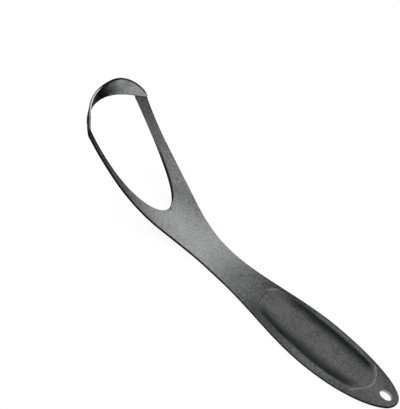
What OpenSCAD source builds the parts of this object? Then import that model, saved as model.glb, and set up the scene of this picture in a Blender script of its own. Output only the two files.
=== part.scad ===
// Tongue scraper with a looped head, pressed from satin sheet steel.
// X runs from the tail of the handle to the scraping band, Z is up, and the front face
// is the upper one. The origin lies under the middle of the tool, on the surface it rests on.

/* [Sheet] */
// Thickness of the sheet
sheet_t = 0.85; // [0.6:0.05:1.3]

/* [Handle] */
// Tail end to the widest place of the handle
tail_len = 33.8; // [26:0.1:44]
// Widest place of the handle to the narrowest place of the neck
taper_len = 45.5; // [38:0.5:60]
// Narrowest place of the neck to the root of the loop
neck_len = 25.9; // [20:0.1:36]
// Width of the handle
handle_w = 31.6; // [26:0.1:36]
// Width of the neck
neck_w = 17.6; // [14:0.2:22]
// Height of the middle of the handle over its long edges
handle_crown = 1.6; // [0.8:0.1:2.2]
// Diameter of the hanging hole
hole_d = 4.9; // [3:0.1:6]
// Tail end to the centre of the hanging hole
hole_inset = 4.9; // [4.2:0.1:6]

/* [Thumb rest] */
// Tail end to the start of the thumb rest
rest_start = 10.9; // [9.5:0.1:16]
// Length of the thumb rest
rest_len = 49.6; // [36:0.2:56]
// Plain rim between the thumb rest and the long edges of the handle
rest_rim = 2.9; // [1.5:0.1:4]
// Depth of the thumb rest at its middle
rest_depth = 0.8; // [0.5:0.05:1.2]
// Length of the slope at each end of the thumb rest
rest_slope = 2.2; // [1:0.1:4]
// How far the arc of the thumb rest's tail end falls back at its corners
rest_tail_sag = 3.4; // [1:0.1:5]
// How far the arc of the thumb rest's other end falls back at its corners
rest_head_sag = 1.6; // [0.5:0.1:3]

/* [Loop] */
// Root of the loop to the inner ends of the arms
arm_len = 35.9; // [28:0.1:44]
// Width of the opening between the ends of the arms
loop_inner_w = 34; // [28:0.1:38]
// Width of the head over the ends of the arms
head_w = 42; // [39:0.2:50]
// How far each arm's outer end lies behind its inner end
arm_skew = 2.8; // [1:0.1:4]
// Start of the upward sweep, measured back from the narrowest place of the neck
sweep_lead = 7; // [0:0.5:10]
// Radius of the upward sweep of neck and loop
sweep_r = 124; // [100:1:160]
// Depth of the hollow across the head at the ends of the arms
head_dish = 5.5; // [3:0.05:6]

/* [Scraping band] */
// Inner ends of the arms to the foot of the band at the tip
band_reach = 6; // [4.5:0.1:9]
// Height of the band at the tip
band_h = 7; // [5:0.1:10]
// Height of the band at its outer ends
band_end_h = 0.35; // [0.2:0.05:1]
// Slope of the band where it meets the arms, in degrees
band_root_slope = 71; // [60:1:78]
// Slope of the band at the tip, in degrees
band_tip_slope = 83; // [78:1:88]

/* [Hidden] */

steel = "#3c3d3e";
overrun_share = 0.6;
overrun = overrun_share * sheet_t;

// Stations along the tool, measured from the tail end.
neck_x = tail_len + taper_len;
root_x = neck_x + neck_len;
arm_end_x = root_x + arm_len;
arm_out_x = arm_end_x - arm_skew;
rest_end = rest_start + rest_len;
sweep_x = neck_x - sweep_lead;
band_foot_x = arm_end_x + band_reach;
inner_end_y = loop_inner_w / 2;

// The foot of the band is an arc through the arms' inner ends and the tip.
foot_r = (inner_end_y * inner_end_y + band_reach * band_reach) / (2 * band_reach);
foot_centre_x = band_foot_x - foot_r;
tip_overhang = band_h / tan(band_tip_slope) + sheet_t * sin(band_tip_slope);
overall_len = band_foot_x + tip_overhang;

// The crown holds over part of the thumb rest and dies out along the neck.
crown_hold_share = 0.6;
crown_end_share = 0.25;
crown_fade_x = rest_start + rest_len * crown_hold_share;
crown_end_x = neck_x + neck_len * crown_end_share;

// The hollow starts level at the neck and reaches its full slope over this share of its way.
dish_ease_share = 0.35;

// Outline of the head from neck to arm end: share of the way, share of the widening.
flare_shares = [[-0.12, 0.03], [0, 0], [0.12, 0.04], [0.27, 0.225], [0.46, 0.555],
                [0.64, 0.77], [0.82, 0.89], [1, 1], [1.2, 1.08]];

// Grid counts: rows along the tool and columns from its middle line to its edge.
tail_rows = 5;
rest_rows = 15;
neck_rows = 15;
arm_rows = 18;
foot_rows = 14;
column_shares = [0, 0.25, 0.5, 0.75, 1];
columns = len(column_shares);
rim_columns = 2;
// Width of the part inside the rim columns, as a share of each row: least, and on the arms.
least_inner_share = 0.4;
arm_inner_share = 0.8;
// Powers that shape the thumb rest's floor and the band's rim.
rest_power = 4;
rim_round_power = 2.5;
rim_power = 0.65;
// The tail's rows lie closer together towards its tip.
tail_row_offset = 0.6;
// The rows bend with the ends of the thumb rest over this share of its length.
bend_share = 0.4;
last_column = columns - 1 + rim_columns - 1;
// Small step over which the form's slopes are measured.
step_share = 0.02;
step = step_share * sheet_t;

function clamp01(a) = min(1, max(0, a));
function smooth(a) = clamp01(a) * clamp01(a) * (3 - 2 * clamp01(a));
function mix(a, b, s) = a + (b - a) * s;
function unit(v) = v / norm(v);

// Smooth curve through the inner pairs of a table of shares, with its ends as guides.
function spline(p0, p1, p2, p3, s) =
    ((2 * s * s * s - 3 * s * s + 1) * p1[1])
    + ((s * s * s - 2 * s * s + s) * (p2[0] - p1[0]) * (p2[1] - p0[1]) / (p2[0] - p0[0]))
    + ((3 * s * s - 2 * s * s * s) * p2[1])
    + ((s * s * s - s * s) * (p2[0] - p1[0]) * (p3[1] - p1[1]) / (p3[0] - p1[0]));
function along(table, a, k = 1) =
    (k == len(table) - 3 || a < table[k + 1][0])
    ? spline(table[k - 1], table[k], table[k + 1], table[k + 2],
             (a - table[k][0]) / (table[k + 1][0] - table[k][0]))
    : along(table, a, k + 1);

// Half width of the tool's outline: an ellipse, a cosine taper, then the flare.
function half_w(x) =
    x < tail_len ? handle_w / 2 * sqrt(max(0, 1 - pow(1 - x / tail_len, 2)))
    : x < neck_x ? mix(neck_w, handle_w, 0.5 + 0.5 * cos(180 * (x - tail_len) / taper_len)) / 2
    : mix(neck_w, head_w, along(flare_shares,
          min(1, (x - neck_x) / (arm_out_x - neck_x)))) / 2;

// Height of the long edges, and the crown or hollow between them.
function edge_z(x) = sheet_t
    + (x < sweep_x ? 0 : sweep_r - sqrt(sweep_r * sweep_r - pow(x - sweep_x, 2)));
function crown(x) =
    handle_crown * (1 - smooth((x - crown_fade_x) / (crown_end_x - crown_fade_x)));
function eased(a) =
    (a < dish_ease_share ? a * a / (2 * dish_ease_share) : a - dish_ease_share / 2)
    / (1 - dish_ease_share / 2);
function hollow(x) = head_dish * eased(max(0, x - neck_x) / (arm_out_x - neck_x));
function crown_w(x) = x < tail_len ? handle_w / 2 : half_w(x);
function form_z(x, y) =
    edge_z(x) + (hollow(x) - crown(x)) * (pow(y / crown_w(x), 2) - 1);

// Depth of the thumb rest below the form.
function rest_w(x) = half_w(x) - rest_rim;
function rest_end_share(x, s) =
    smooth(min(x - rest_start - rest_tail_sag * s * s, rest_end - rest_head_sag * s * s - x)
           / rest_slope);
function rest_z(x, y) = let (s = abs(y) / rest_w(x))
    rest_depth * rest_end_share(x, s) * max(0, 1 - pow(s, rest_power));
function inside_rest(x) = x > rest_start && x < rest_end;
function front_z(x, y) = form_z(x, y) - (inside_rest(x) ? rest_z(x, y) : 0);

// Upward normal of the form, from its slopes along and across the tool.
function form_normal(x, y) = unit([
    (form_z(x - step, y) - form_z(x + step, y)) / (2 * step),
    (form_z(x, y - step) - form_z(x, y + step)) / (2 * step), 1]);

// Rows of the half sheet: each runs from the middle line, or the opening, to the edge.
function open_angle(i) = 90 * i / arm_rows;
function tail_row(i) =
    rest_start * pow((i + tail_row_offset) / (tail_rows + tail_row_offset), 2);
plate_x = concat(
    [for (i = [0:tail_rows - 1]) tail_row(i)],
    [rest_start],
    [for (i = [0:rest_rows]) mix(rest_start + rest_slope, rest_end - rest_slope, i / rest_rows)],
    [rest_end],
    [for (i = [1:neck_rows]) mix(rest_end, root_x, i / neck_rows)]);
plate_rows = len(plate_x);
row_count = plate_rows + arm_rows;
function edge_lag(x) = arm_skew * clamp01((x - neck_x) / neck_len);
function tent(x, from, peak, to) = clamp01(min((x - from) / (peak - from), (to - x) / (to - peak)));
function edge_bend(x) =
    let (reach = rest_len * bend_share)
    (rest_tail_sag * tent(x, 0, rest_start, rest_start + reach) / pow(edge_share(rest_start), 2))
    - (rest_head_sag * tent(x, rest_end - reach, rest_end, neck_x) / pow(edge_share(rest_end), 2));
function edge_share(x) = 1 - rest_rim / half_w(x);
function inner_pt(i) =
    i == 0 ? [0, 0]
    : i < plate_rows ? [plate_x[i], 0]
    : [arm_end_x - arm_len * cos(open_angle(i - plate_rows + 1)),
       inner_end_y * sin(open_angle(i - plate_rows + 1))];
function outer_pt(i) =
    let (x = i < plate_rows ? plate_x[i] + edge_bend(plate_x[i]) - edge_lag(plate_x[i])
         : inner_pt(i)[0] - arm_skew)
    [x, half_w(x)];
function rim_share(i) =
    i < plate_rows ? max(least_inner_share, edge_share(outer_pt(i)[0])) : arm_inner_share;
function column_share(i, j) =
    i == 0 ? j / last_column
    : j < columns ? column_shares[j] * rim_share(i)
    : mix(rim_share(i), 1, (j - columns + 1) / (rim_columns - 1));
function sheet_xy(i, j) =
    let (s = column_share(i, j), p = mix(inner_pt(i), outer_pt(i), s))
    i > 0 && i < plate_rows ? [mix(inner_pt(i)[0], outer_pt(i)[0], s * s), p[1]] : p;

// Direction of the band's slope in plan, seen from a point of its foot.
function arm_end_share(p) = (p[1] - inner_end_y) / (head_w / 2 - inner_end_y);
arm_end_turn = atan2(arm_skew, head_w / 2 - inner_end_y);
foot_end_turn = asin(inner_end_y / foot_r);
function foot_turn(p) =
    p[1] > inner_end_y ? mix(foot_end_turn, arm_end_turn, arm_end_share(p))
    : atan2(p[1], p[0] - foot_centre_x);
function band_slope(p) =
    mix(band_tip_slope, band_root_slope, smooth(p[1] / inner_end_y));
function band_normal(p) = [-sin(band_slope(p)) * cos(foot_turn(p)),
                           -sin(band_slope(p)) * sin(foot_turn(p)), cos(band_slope(p))];
// Half way between two normals, long enough to keep the sheet's thickness on both sides.
function mitre(a, b) = (a + b) / (1 + a * b);
function seam_normal(p) = mitre(form_normal(p[0], p[1]), band_normal(p));

function front_pt(p) = [p[0], p[1], front_z(p[0], p[1])];
function back_pt(i, p) = front_pt(p)
    - sheet_t * (i == row_count - 1 ? seam_normal(p) : form_normal(p[0], p[1]));
function mirrored(p) = [p[0], -p[1], p[2]];

half_front = [for (i = [0:row_count - 1]) for (j = [0:last_column]) front_pt(sheet_xy(i, j))];
half_back = [for (i = [0:row_count - 1]) for (j = [0:last_column]) back_pt(i, sheet_xy(i, j))];
layer = len(half_front);

// Index of a grid point: the two halves share the middle line behind the opening.
function at(side, back, i, j) =
    (side == 1 && (j > 0 || i >= plate_rows) ? 2 * layer : 0)
    + (back ? layer : 0) + i * (last_column + 1) + j;
function facing(side, q) = side == 1 ? q : [q[0], q[3], q[2], q[1]];
function quad(a, b, c, d) = [[a, b, c], [a, c, d]];
function flat_list(lists) = [for (l = lists) for (e = l) e];

module pressed_sheet() {
    sides = [0, 1];
    rows = [0:row_count - 2];
    cells = [0:last_column - 1];
    face_quads = [for (s = sides) for (i = rows) for (j = cells)
        facing(s, [at(s, false, i, j), at(s, false, i + 1, j),
                   at(s, false, i + 1, j + 1), at(s, false, i, j + 1)])];
    back_quads = [for (s = sides) for (i = rows) for (j = cells)
        facing(s, [at(s, true, i, j), at(s, true, i, j + 1),
                   at(s, true, i + 1, j + 1), at(s, true, i + 1, j)])];
    edge_quads = [for (s = sides) for (i = rows)
        facing(s, [at(s, false, i, last_column), at(s, false, i + 1, last_column),
                   at(s, true, i + 1, last_column), at(s, true, i, last_column)])];
    opening_quads = [for (s = sides) for (i = [plate_rows - 1:row_count - 2])
        facing(s, [at(s, false, i + 1, 0), at(s, false, i, 0),
                   at(s, true, i, 0), at(s, true, i + 1, 0)])];
    tail_quads = [for (s = sides) for (j = cells)
        facing(s, [at(s, false, 0, j), at(s, false, 0, j + 1),
                   at(s, true, 0, j + 1), at(s, true, 0, j)])];
    seam_quads = [for (s = sides) for (j = cells)
        facing(s, [at(s, false, row_count - 1, j + 1), at(s, false, row_count - 1, j),
                   at(s, true, row_count - 1, j), at(s, true, row_count - 1, j + 1)])];
    quads = concat(face_quads, back_quads, edge_quads, opening_quads, tail_quads, seam_quads);
    polyhedron(
        points = concat(half_front, half_back,
                        [for (p = half_front) mirrored(p)], [for (p = half_back) mirrored(p)]),
        faces = flat_list([for (q = quads) quad(q[0], q[1], q[2], q[3])]));
}

// Handle, neck and arms: one pressed sheet with the hanging hole through its tail.
module handle_frame() {
    color(steel)
        translate([-overall_len / 2, 0, 0])
            difference() {
                pressed_sheet();
                translate([hole_inset, 0, -overrun])
                    cylinder(h = handle_crown + sheet_t + 2 * overrun, d = hole_d, $fn = 48);
            }
}

// Foot of the band from the outer end of one arm to the tip.
seam_foot = [for (j = [last_column:-1:0]) sheet_xy(row_count - 1, j)];
arc_foot = [for (i = [1:foot_rows])
    let (a = foot_end_turn * (1 - i / foot_rows))
    [foot_centre_x + foot_r * cos(a), foot_r * sin(a)]];
half_foot = concat(seam_foot, arc_foot);
seam_stations = len(seam_foot);
foot_z = front_z(arm_end_x, inner_end_y);
function foot_pt(k) = k < seam_stations ? front_pt(half_foot[k])
    : [half_foot[k][0], half_foot[k][1], foot_z];
function rim_h(p) =
    max(band_end_h,
        band_h * pow(max(0, 1 - pow(2 * p[1] / head_w, rim_round_power)), rim_power));
function rise(p) = rim_h(p) * [cos(foot_turn(p)) / tan(band_slope(p)),
                               sin(foot_turn(p)) / tan(band_slope(p)), 1];
function band_ring(k) =
    let (p = half_foot[k],
         low = foot_pt(k),
         top = low + rise(p),
         low_n = k < seam_stations ? seam_normal(p) : band_normal(p))
    [low, top, top - sheet_t * band_normal(p), low - sheet_t * low_n];
half_rings = [for (k = [0:len(half_foot) - 1]) band_ring(k)];
band_rings = concat(half_rings,
    [for (k = [len(half_foot) - 2:-1:0]) [for (p = half_rings[k]) mirrored(p)]]);

// Scraping band: a strip of four-cornered rings, split alike on both sides of the tip.
module scraper_band() {
    corners = len(band_rings[0]);
    last = len(band_rings) - 1;
    end = corners * last;
    walls = [for (k = [0:last - 1]) for (j = [0:corners - 1])
        let (near = corners * k, far = near + corners, next = (j + 1) % corners)
        k < last / 2 ? quad(near + next, far + next, far + j, near + j)
        : quad(near + j, near + next, far + next, far + j)];
    ends = [quad(3, 2, 1, 0), quad(end + 1, end + 2, end + 3, end)];
    color(steel)
        translate([-overall_len / 2, 0, 0])
            polyhedron(points = flat_list(band_rings), faces = flat_list(concat(walls, ends)));
}

handle_frame();
scraper_band();
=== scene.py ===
"""Looks of a satin steel tongue scraper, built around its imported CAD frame.

The tool is one strip of sheet steel, pressed into a handle with a thumb rest, a neck and a
looped head, and turned up along the tip of the loop into the scraping band. Lengths are in
metres. X runs from the tail to the band, Z is up, as in the CAD frame.
"""

import logging
import math
from collections.abc import Callable, Iterator
from contextlib import contextmanager
from dataclasses import dataclass, field
from enum import Enum

import bpy
import numpy as np
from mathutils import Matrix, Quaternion, Vector


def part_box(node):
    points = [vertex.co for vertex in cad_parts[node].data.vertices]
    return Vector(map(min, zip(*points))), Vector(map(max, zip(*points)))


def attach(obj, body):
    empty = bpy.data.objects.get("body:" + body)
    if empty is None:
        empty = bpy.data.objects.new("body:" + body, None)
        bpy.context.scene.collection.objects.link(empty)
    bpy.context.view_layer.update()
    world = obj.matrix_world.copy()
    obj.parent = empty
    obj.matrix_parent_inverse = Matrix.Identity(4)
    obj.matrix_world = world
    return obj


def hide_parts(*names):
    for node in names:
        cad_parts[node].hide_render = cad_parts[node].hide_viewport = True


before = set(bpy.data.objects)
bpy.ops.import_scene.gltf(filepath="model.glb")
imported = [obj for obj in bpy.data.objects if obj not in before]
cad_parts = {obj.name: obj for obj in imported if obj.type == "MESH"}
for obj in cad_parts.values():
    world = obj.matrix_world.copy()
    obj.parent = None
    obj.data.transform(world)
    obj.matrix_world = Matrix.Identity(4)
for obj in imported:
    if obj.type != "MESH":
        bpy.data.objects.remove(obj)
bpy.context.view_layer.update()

MM = 0.001
WELD = 0.001 * MM
ROUNDING_ERROR = 1e-9
KEY_DIGITS = 8
SHARP_ANGLE = math.radians(40.0)
SMOOTH_ANGLE = math.radians(38.0)
ROUND_SEGMENTS = 3
FACE_WEIGHT = 80
log = logging.getLogger("tongue_scraper")


class CadNode(Enum):
    """Solids of the CAD frame that the pieces here stand for."""

    SHEET = "handle_frame"
    BAND = "scraper_band"


class Zone(Enum):
    """Point attributes that tell where painted shade, a painted lighter tone and painted highlights
    lie on a piece.
    """

    # Painted shade on edges, outlines and margins.
    CUT = "cut_edge"
    # Painted shade in the hollows and on the band's inner face.
    RECESS = "inner_corner"
    # A lighter tone painted as a highlight.
    WORN = "worn_face"
    # The brightest painted highlights.
    BARE = "bare_steel"


class MixSocket(Enum):
    """Places of the colour sockets on a mix node."""

    SHARE = 0
    LOW = 6
    HIGH = 7
    RESULT = 2


class EdgeWeight(Enum):
    """Roundness of an edge, as a share of the widest rounding on its piece."""

    FREE = 0.8
    SEAM = 1.0
    HOLE = 0.45


def smooth(share: np.ndarray) -> np.ndarray:
    """Ease a share from 0 to 1 with level ends.

    Args:
        share: Any values; those outside 0 to 1 are clipped.

    Returns:
        The eased values.
    """
    held = np.clip(share, 0.0, 1.0)
    return held * held * (3.0 - 2.0 * held)


def unit(vectors: np.ndarray) -> np.ndarray:
    """Scale vectors along the last axis to length one."""
    return vectors / np.linalg.norm(vectors, axis=-1, keepdims=True)


def mitre(first: np.ndarray, second: np.ndarray) -> np.ndarray:
    """Halve the angle of two unit normals, long enough to keep a sheet's thickness.

    Args:
        first: Unit normals of one face.
        second: Unit normals of the other face.

    Returns:
        Vectors that reach from the front crease to the back crease of a sheet one thick.
    """
    overlap = np.sum(first * second, axis=-1, keepdims=True)
    return (first + second) / (1.0 + overlap)


@dataclass(frozen=True)
class Ramp:
    """A share that eases from 0 at the start value to 1 at the end value, either way round."""

    start: float
    end: float

    def __call__(self, values: np.ndarray) -> np.ndarray:
        """Give the share at each value."""
        return smooth((values - self.start) / (self.end - self.start))


@dataclass
class PressForm:
    """Sizes and curves of the pressed form, shared by the sheet and the band."""

    sheet_t: float = 0.85 * MM
    tail_len: float = 33.8 * MM
    taper_len: float = 45.5 * MM
    neck_len: float = 25.9 * MM
    handle_w: float = 31.6 * MM
    neck_w: float = 17.6 * MM
    handle_crown: float = 1.6 * MM
    crown_hold_share: float = 0.6
    crown_end_share: float = 0.25
    hole_d: float = 4.9 * MM
    hole_inset: float = 4.9 * MM
    rest_start: float = 10.9 * MM
    rest_len: float = 49.6 * MM
    rest_rim: float = 2.9 * MM
    rest_depth: float = 0.8 * MM
    rest_lip: float = 1.0 * MM
    rest_ramp: float = 14.0 * MM
    rest_lip_share: float = 0.25
    rest_power: float = 4.0
    rest_tail_sag: float = 3.4 * MM
    rest_head_sag: float = 1.6 * MM
    arm_len: float = 35.9 * MM
    loop_inner_w: float = 34.0 * MM
    head_w: float = 42.0 * MM
    arm_skew: float = 2.8 * MM
    sweep_lead: float = 7.0 * MM
    sweep_r: float = 124.0 * MM
    head_dish: float = 5.5 * MM
    dish_ease_share: float = 0.35
    band_reach: float = 6.0 * MM
    band_h: float = 7.0 * MM
    band_end_h: float = 0.35 * MM
    band_root_slope: float = math.radians(71.0)
    band_tip_slope: float = math.radians(83.0)
    rim_round_power: float = 2.5
    rim_power: float = 0.65
    flare_shares: tuple[tuple[float, float], ...] = (
        (-0.12, 0.03), (0.0, 0.0), (0.12, 0.04), (0.27, 0.225), (0.46, 0.555),
        (0.64, 0.77), (0.82, 0.89), (1.0, 1.0), (1.2, 1.08),
    )
    slope_step: float = 0.02 * MM
    width_blur: float = 3.0 * MM
    blur_samples: int = 5

    def __post_init__(self) -> None:
        """Work out the stations along the tool, measured from its tail end."""
        self.neck_x = self.tail_len + self.taper_len
        self.root_x = self.neck_x + self.neck_len
        self.arm_end_x = self.root_x + self.arm_len
        self.arm_out_x = self.arm_end_x - self.arm_skew
        self.rest_end = self.rest_start + self.rest_len
        self.sweep_x = self.neck_x - self.sweep_lead
        self.crown_fade_x = self.rest_start + self.rest_len * self.crown_hold_share
        self.crown_end_x = self.neck_x + self.neck_len * self.crown_end_share
        self.inner_end_y = self.loop_inner_w / 2
        self.foot_r = (self.inner_end_y**2 + self.band_reach**2) / (2 * self.band_reach)
        self.foot_centre_x = self.arm_end_x + self.band_reach - self.foot_r
        self.foot_end_turn = math.asin(self.inner_end_y / self.foot_r)
        self.arm_end_turn = math.atan2(self.arm_skew, self.head_w / 2 - self.inner_end_y)

    def flare(self, share: np.ndarray) -> np.ndarray:
        """Widening of the head as a share, on a smooth curve through the flare's points.

        Args:
            share: Share of the way from the narrowest place of the neck to the arm's end.

        Returns:
            Share of the widening from neck to head.
        """
        places, rises = np.array(self.flare_shares).T
        k = np.clip(np.searchsorted(places, share, side="right") - 1, 1, len(places) - 3)
        span = places[k + 1] - places[k]
        s = (share - places[k]) / span
        lean_in = (rises[k + 1] - rises[k - 1]) / (places[k + 1] - places[k - 1]) * span
        lean_out = (rises[k + 2] - rises[k]) / (places[k + 2] - places[k]) * span
        return (
            (2 * s**3 - 3 * s**2 + 1) * rises[k] + (s**3 - 2 * s**2 + s) * lean_in
            + (3 * s**2 - 2 * s**3) * rises[k + 1] + (s**3 - s**2) * lean_out
        )

    def half_w(self, x: np.ndarray) -> np.ndarray:
        """Half width of the outline at stations x: an ellipse, a cosine taper, the flare.

        Args:
            x: Stations from the tail end.

        Returns:
            Half widths.
        """
        tail = self.handle_w / 2 * np.sqrt(np.clip(1 - (1 - x / self.tail_len) ** 2, 0, None))
        turn = np.pi * (x - self.tail_len) / self.taper_len
        taper = self.neck_w + (self.handle_w - self.neck_w) * (0.5 + 0.5 * np.cos(turn))
        way = np.clip((x - self.neck_x) / (self.arm_out_x - self.neck_x), 0, 1)
        head = self.neck_w + (self.head_w - self.neck_w) * self.flare(way)
        return np.where(x < self.tail_len, tail, np.where(x < self.neck_x, taper, head) / 2)

    def edge_z(self, x: np.ndarray) -> np.ndarray:
        """Height of the long edges, level along the handle and then on the sweep's arc."""
        run = np.clip(x - self.sweep_x, 0, None)
        return self.sheet_t + self.sweep_r - np.sqrt(self.sweep_r**2 - run**2)

    def form_w(self, x: np.ndarray) -> np.ndarray:
        """Half width that the crown and the hollow span, evened out along the tool.

        Args:
            x: Stations from the tail end.

        Returns:
            Half widths.
        """
        steps = np.linspace(-self.width_blur, self.width_blur, self.blur_samples)
        places = [x + step for step in steps]
        widths = [np.where(p < self.tail_len, self.handle_w / 2, self.half_w(p)) for p in places]
        return sum(widths) / len(widths)

    def hollow(self, x: np.ndarray) -> np.ndarray:
        """Depth of the hollow across neck and head, which eases in from the neck.

        Args:
            x: Stations from the tail end.

        Returns:
            Depths below the long edges.
        """
        way = np.clip(x - self.neck_x, 0, None) / (self.arm_out_x - self.neck_x)
        ease = self.dish_ease_share
        eased = np.where(way < ease, way**2 / (2 * ease), way - ease / 2)
        return self.head_dish * eased / (1 - ease / 2)

    def form_z(self, x: np.ndarray, y: np.ndarray) -> np.ndarray:
        """Height of the front face without the thumb rest.

        Args:
            x: Stations from the tail end.
            y: Places across the tool.

        Returns:
            Heights over the surface that the tool rests on.
        """
        fade = (x - self.crown_fade_x) / (self.crown_end_x - self.crown_fade_x)
        crown = self.handle_crown * (1 - smooth(fade))
        across = y / self.form_w(x)
        return self.edge_z(x) + (self.hollow(x) - crown) * (across**2 - 1)

    def rest_share(self, x: np.ndarray, y: np.ndarray) -> np.ndarray:
        """Place across the thumb rest: 0 at its middle line, 1 at its long sides."""
        return np.abs(y) / np.maximum(self.half_w(x) - self.rest_rim, self.rest_rim)

    def rest_insets(self, x: np.ndarray, s: np.ndarray) -> tuple[np.ndarray, np.ndarray]:
        """Distances into the thumb rest from its arched tail end and its arched head end.

        Args:
            x: Stations from the tail end.
            s: Shares across the thumb rest, as rest_share gives them.

        Returns:
            Distances from the tail end and from the head end, below 0 outside.
        """
        from_tail = x - self.rest_start - self.rest_tail_sag * s**2
        from_head = self.rest_end - self.rest_head_sag * s**2 - x
        return from_tail, from_head

    def rest_z(self, x: np.ndarray, y: np.ndarray) -> np.ndarray:
        """Depth of the thumb rest: a small lip and a long ramp at each end, hollow sides.

        Args:
            x: Stations from the tail end.
            y: Places across the tool.

        Returns:
            Depths below the form.
        """
        s = self.rest_share(x, y)
        inset = np.minimum(*self.rest_insets(x, s))
        ends = self.rest_lip_share * smooth(inset / self.rest_lip)
        ends = ends + (1 - self.rest_lip_share) * smooth(inset / self.rest_ramp)
        return self.rest_depth * ends * np.clip(1 - s**self.rest_power, 0, None)

    def front_z(self, x: np.ndarray, y: np.ndarray) -> np.ndarray:
        """Height of the front face with the thumb rest pressed in."""
        return self.form_z(x, y) - self.rest_z(x, y)

    def end_z(self) -> float:
        """Height of the front face at an arm's inner corner, where the band's foot is level."""
        return self.front_z(np.array(self.arm_end_x), np.array(self.inner_end_y))

    def normal(self, x: np.ndarray, y: np.ndarray) -> np.ndarray:
        """Upward unit normals of the form, from its slopes along and across the tool.

        Args:
            x: Stations from the tail end.
            y: Places across the tool.

        Returns:
            Normals, one row a point.
        """
        d = self.slope_step
        along = (self.form_z(x - d, y) - self.form_z(x + d, y)) / (2 * d)
        across = (self.form_z(x, y - d) - self.form_z(x, y + d)) / (2 * d)
        return unit(np.stack([along, across, np.ones_like(along)], axis=-1))

    def band_normal(self, x: np.ndarray, y: np.ndarray) -> np.ndarray:
        """Unit normals of the band's inner face over points of its foot.

        Args:
            x: Stations of the foot's points.
            y: Places across the tool.

        Returns:
            Normals that lean back towards the handle.
        """
        turn, slope = self.band_turn(x, y), self.band_slope(y)
        side = np.where(y < 0, -1.0, 1.0)
        return np.stack([
            -np.sin(slope) * np.cos(turn), -side * np.sin(slope) * np.sin(turn), np.cos(slope),
        ], axis=-1)

    def band_turn(self, x: np.ndarray, y: np.ndarray) -> np.ndarray:
        """Direction of the band's slope in plan, from straight ahead, on either side.

        Args:
            x: Stations of points of the foot.
            y: Places across the tool.

        Returns:
            Angles in radians, 0 at the tip.
        """
        out = (np.abs(y) - self.inner_end_y) / (self.head_w / 2 - self.inner_end_y)
        on_arm = self.foot_end_turn + (self.arm_end_turn - self.foot_end_turn) * out
        on_arc = np.arctan2(np.abs(y), x - self.foot_centre_x)
        return np.where(out > ROUNDING_ERROR, on_arm, on_arc)

    def band_slope(self, y: np.ndarray) -> np.ndarray:
        """Steepness of the band, least at the arms and most at the tip."""
        to_arm = smooth(np.abs(y) / self.inner_end_y)
        return self.band_tip_slope + (self.band_root_slope - self.band_tip_slope) * to_arm

    def rim_h(self, y: np.ndarray) -> np.ndarray:
        """Height of the band over its foot, rounded off towards its outer ends."""
        level = 1 - (2 * np.abs(y) / self.head_w) ** self.rim_round_power
        return np.maximum(self.band_end_h, self.band_h * np.clip(level, 0, None) ** self.rim_power)


@contextmanager
def editing(piece: bpy.types.Object, kind: str = "VERT") -> Iterator[None]:
    """Hold a piece in edit mode.

    Args:
        piece: The mesh object to edit.
        kind: Selection mode, as Blender names it.

    Yields:
        Nothing; the piece is back in object mode afterwards.
    """
    bpy.context.view_layer.objects.active = piece
    kinds = tuple(kind == name for name in ("VERT", "EDGE", "FACE"))
    bpy.context.tool_settings.mesh_select_mode = kinds
    bpy.ops.object.mode_set(mode="EDIT")
    yield
    bpy.ops.object.mode_set(mode="OBJECT")


def select_only(piece: bpy.types.Object) -> None:
    """Deselect every object, then select one and make it active.

    Args:
        piece: The piece.
    """
    bpy.ops.object.select_all(action="DESELECT")
    piece.select_set(True)
    bpy.context.view_layer.objects.active = piece


def coordinates(mesh: bpy.types.Mesh) -> np.ndarray:
    """Read a mesh's vertices as an array of points.

    Args:
        mesh: The mesh.

    Returns:
        Points, one row a vertex.
    """
    flat = np.empty(len(mesh.vertices) * 3)
    mesh.vertices.foreach_get("co", flat)
    return flat.reshape(-1, 3)


def edge_ends(mesh: bpy.types.Mesh) -> np.ndarray:
    """Read the two vertices of each of a mesh's edges.

    Args:
        mesh: The mesh.

    Returns:
        Places in the list of vertices, one row an edge.
    """
    flat = np.empty(len(mesh.edges) * 2, int)
    mesh.edges.foreach_get("vertices", flat)
    return flat.reshape(-1, 2)


def place(mesh: bpy.types.Mesh, points: np.ndarray) -> None:
    """Move a mesh's vertices to new points."""
    mesh.vertices.foreach_set("co", points.ravel())
    mesh.update()


def pick(mesh: bpy.types.Mesh, kind: str, chosen: np.ndarray) -> None:
    """Select elements of a mesh in object mode and nothing else.

    Args:
        mesh: The mesh.
        kind: One of vertices, edges and polygons.
        chosen: True for each element to select.
    """
    for name in ("vertices", "edges", "polygons"):
        elements = getattr(mesh, name)
        flags = chosen if name == kind else np.zeros(len(elements), bool)
        elements.foreach_set("select", flags)


def grid_piece(name: str, rows: int, columns: int) -> tuple[bpy.types.Object, np.ndarray, np.ndarray]:
    """Add a plain grid whose vertices know their row and column.

    Args:
        name: Name of the new piece.
        rows: Count of vertices along X.
        columns: Count of vertices along Y.

    Returns:
        The piece, and the row and column of each vertex.
    """
    bpy.ops.object.select_all(action="DESELECT")
    bpy.ops.mesh.primitive_grid_add(x_subdivisions=rows - 1, y_subdivisions=columns - 1, size=2)
    piece = bpy.context.object
    piece.name = name
    piece.data.name = name
    share = (coordinates(piece.data) + 1) / 2
    i = np.rint(share[:, 0] * (rows - 1)).astype(int)
    j = np.rint(share[:, 1] * (columns - 1)).astype(int)
    return piece, i, j


def apply_modifier(piece: bpy.types.Object, kind: str, **settings: object) -> None:
    """Add a modifier to a piece, set it up and apply it.

    Args:
        piece: The piece.
        kind: Type of the modifier, as Blender names it.
        settings: Values of the modifier's properties.
    """
    select_only(piece)
    bpy.ops.object.modifier_add(type=kind)
    modifier = piece.modifiers[-1]
    for key, value in settings.items():
        setattr(modifier, key, value)
    bpy.ops.object.modifier_apply(modifier=modifier.name)


def mirror_half(piece: bpy.types.Object) -> None:
    """Complete a half piece, which lies at +Y, across the tool's middle plane."""
    apply_modifier(piece, "MIRROR", use_axis=(False, True, False), merge_threshold=WELD)


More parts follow.
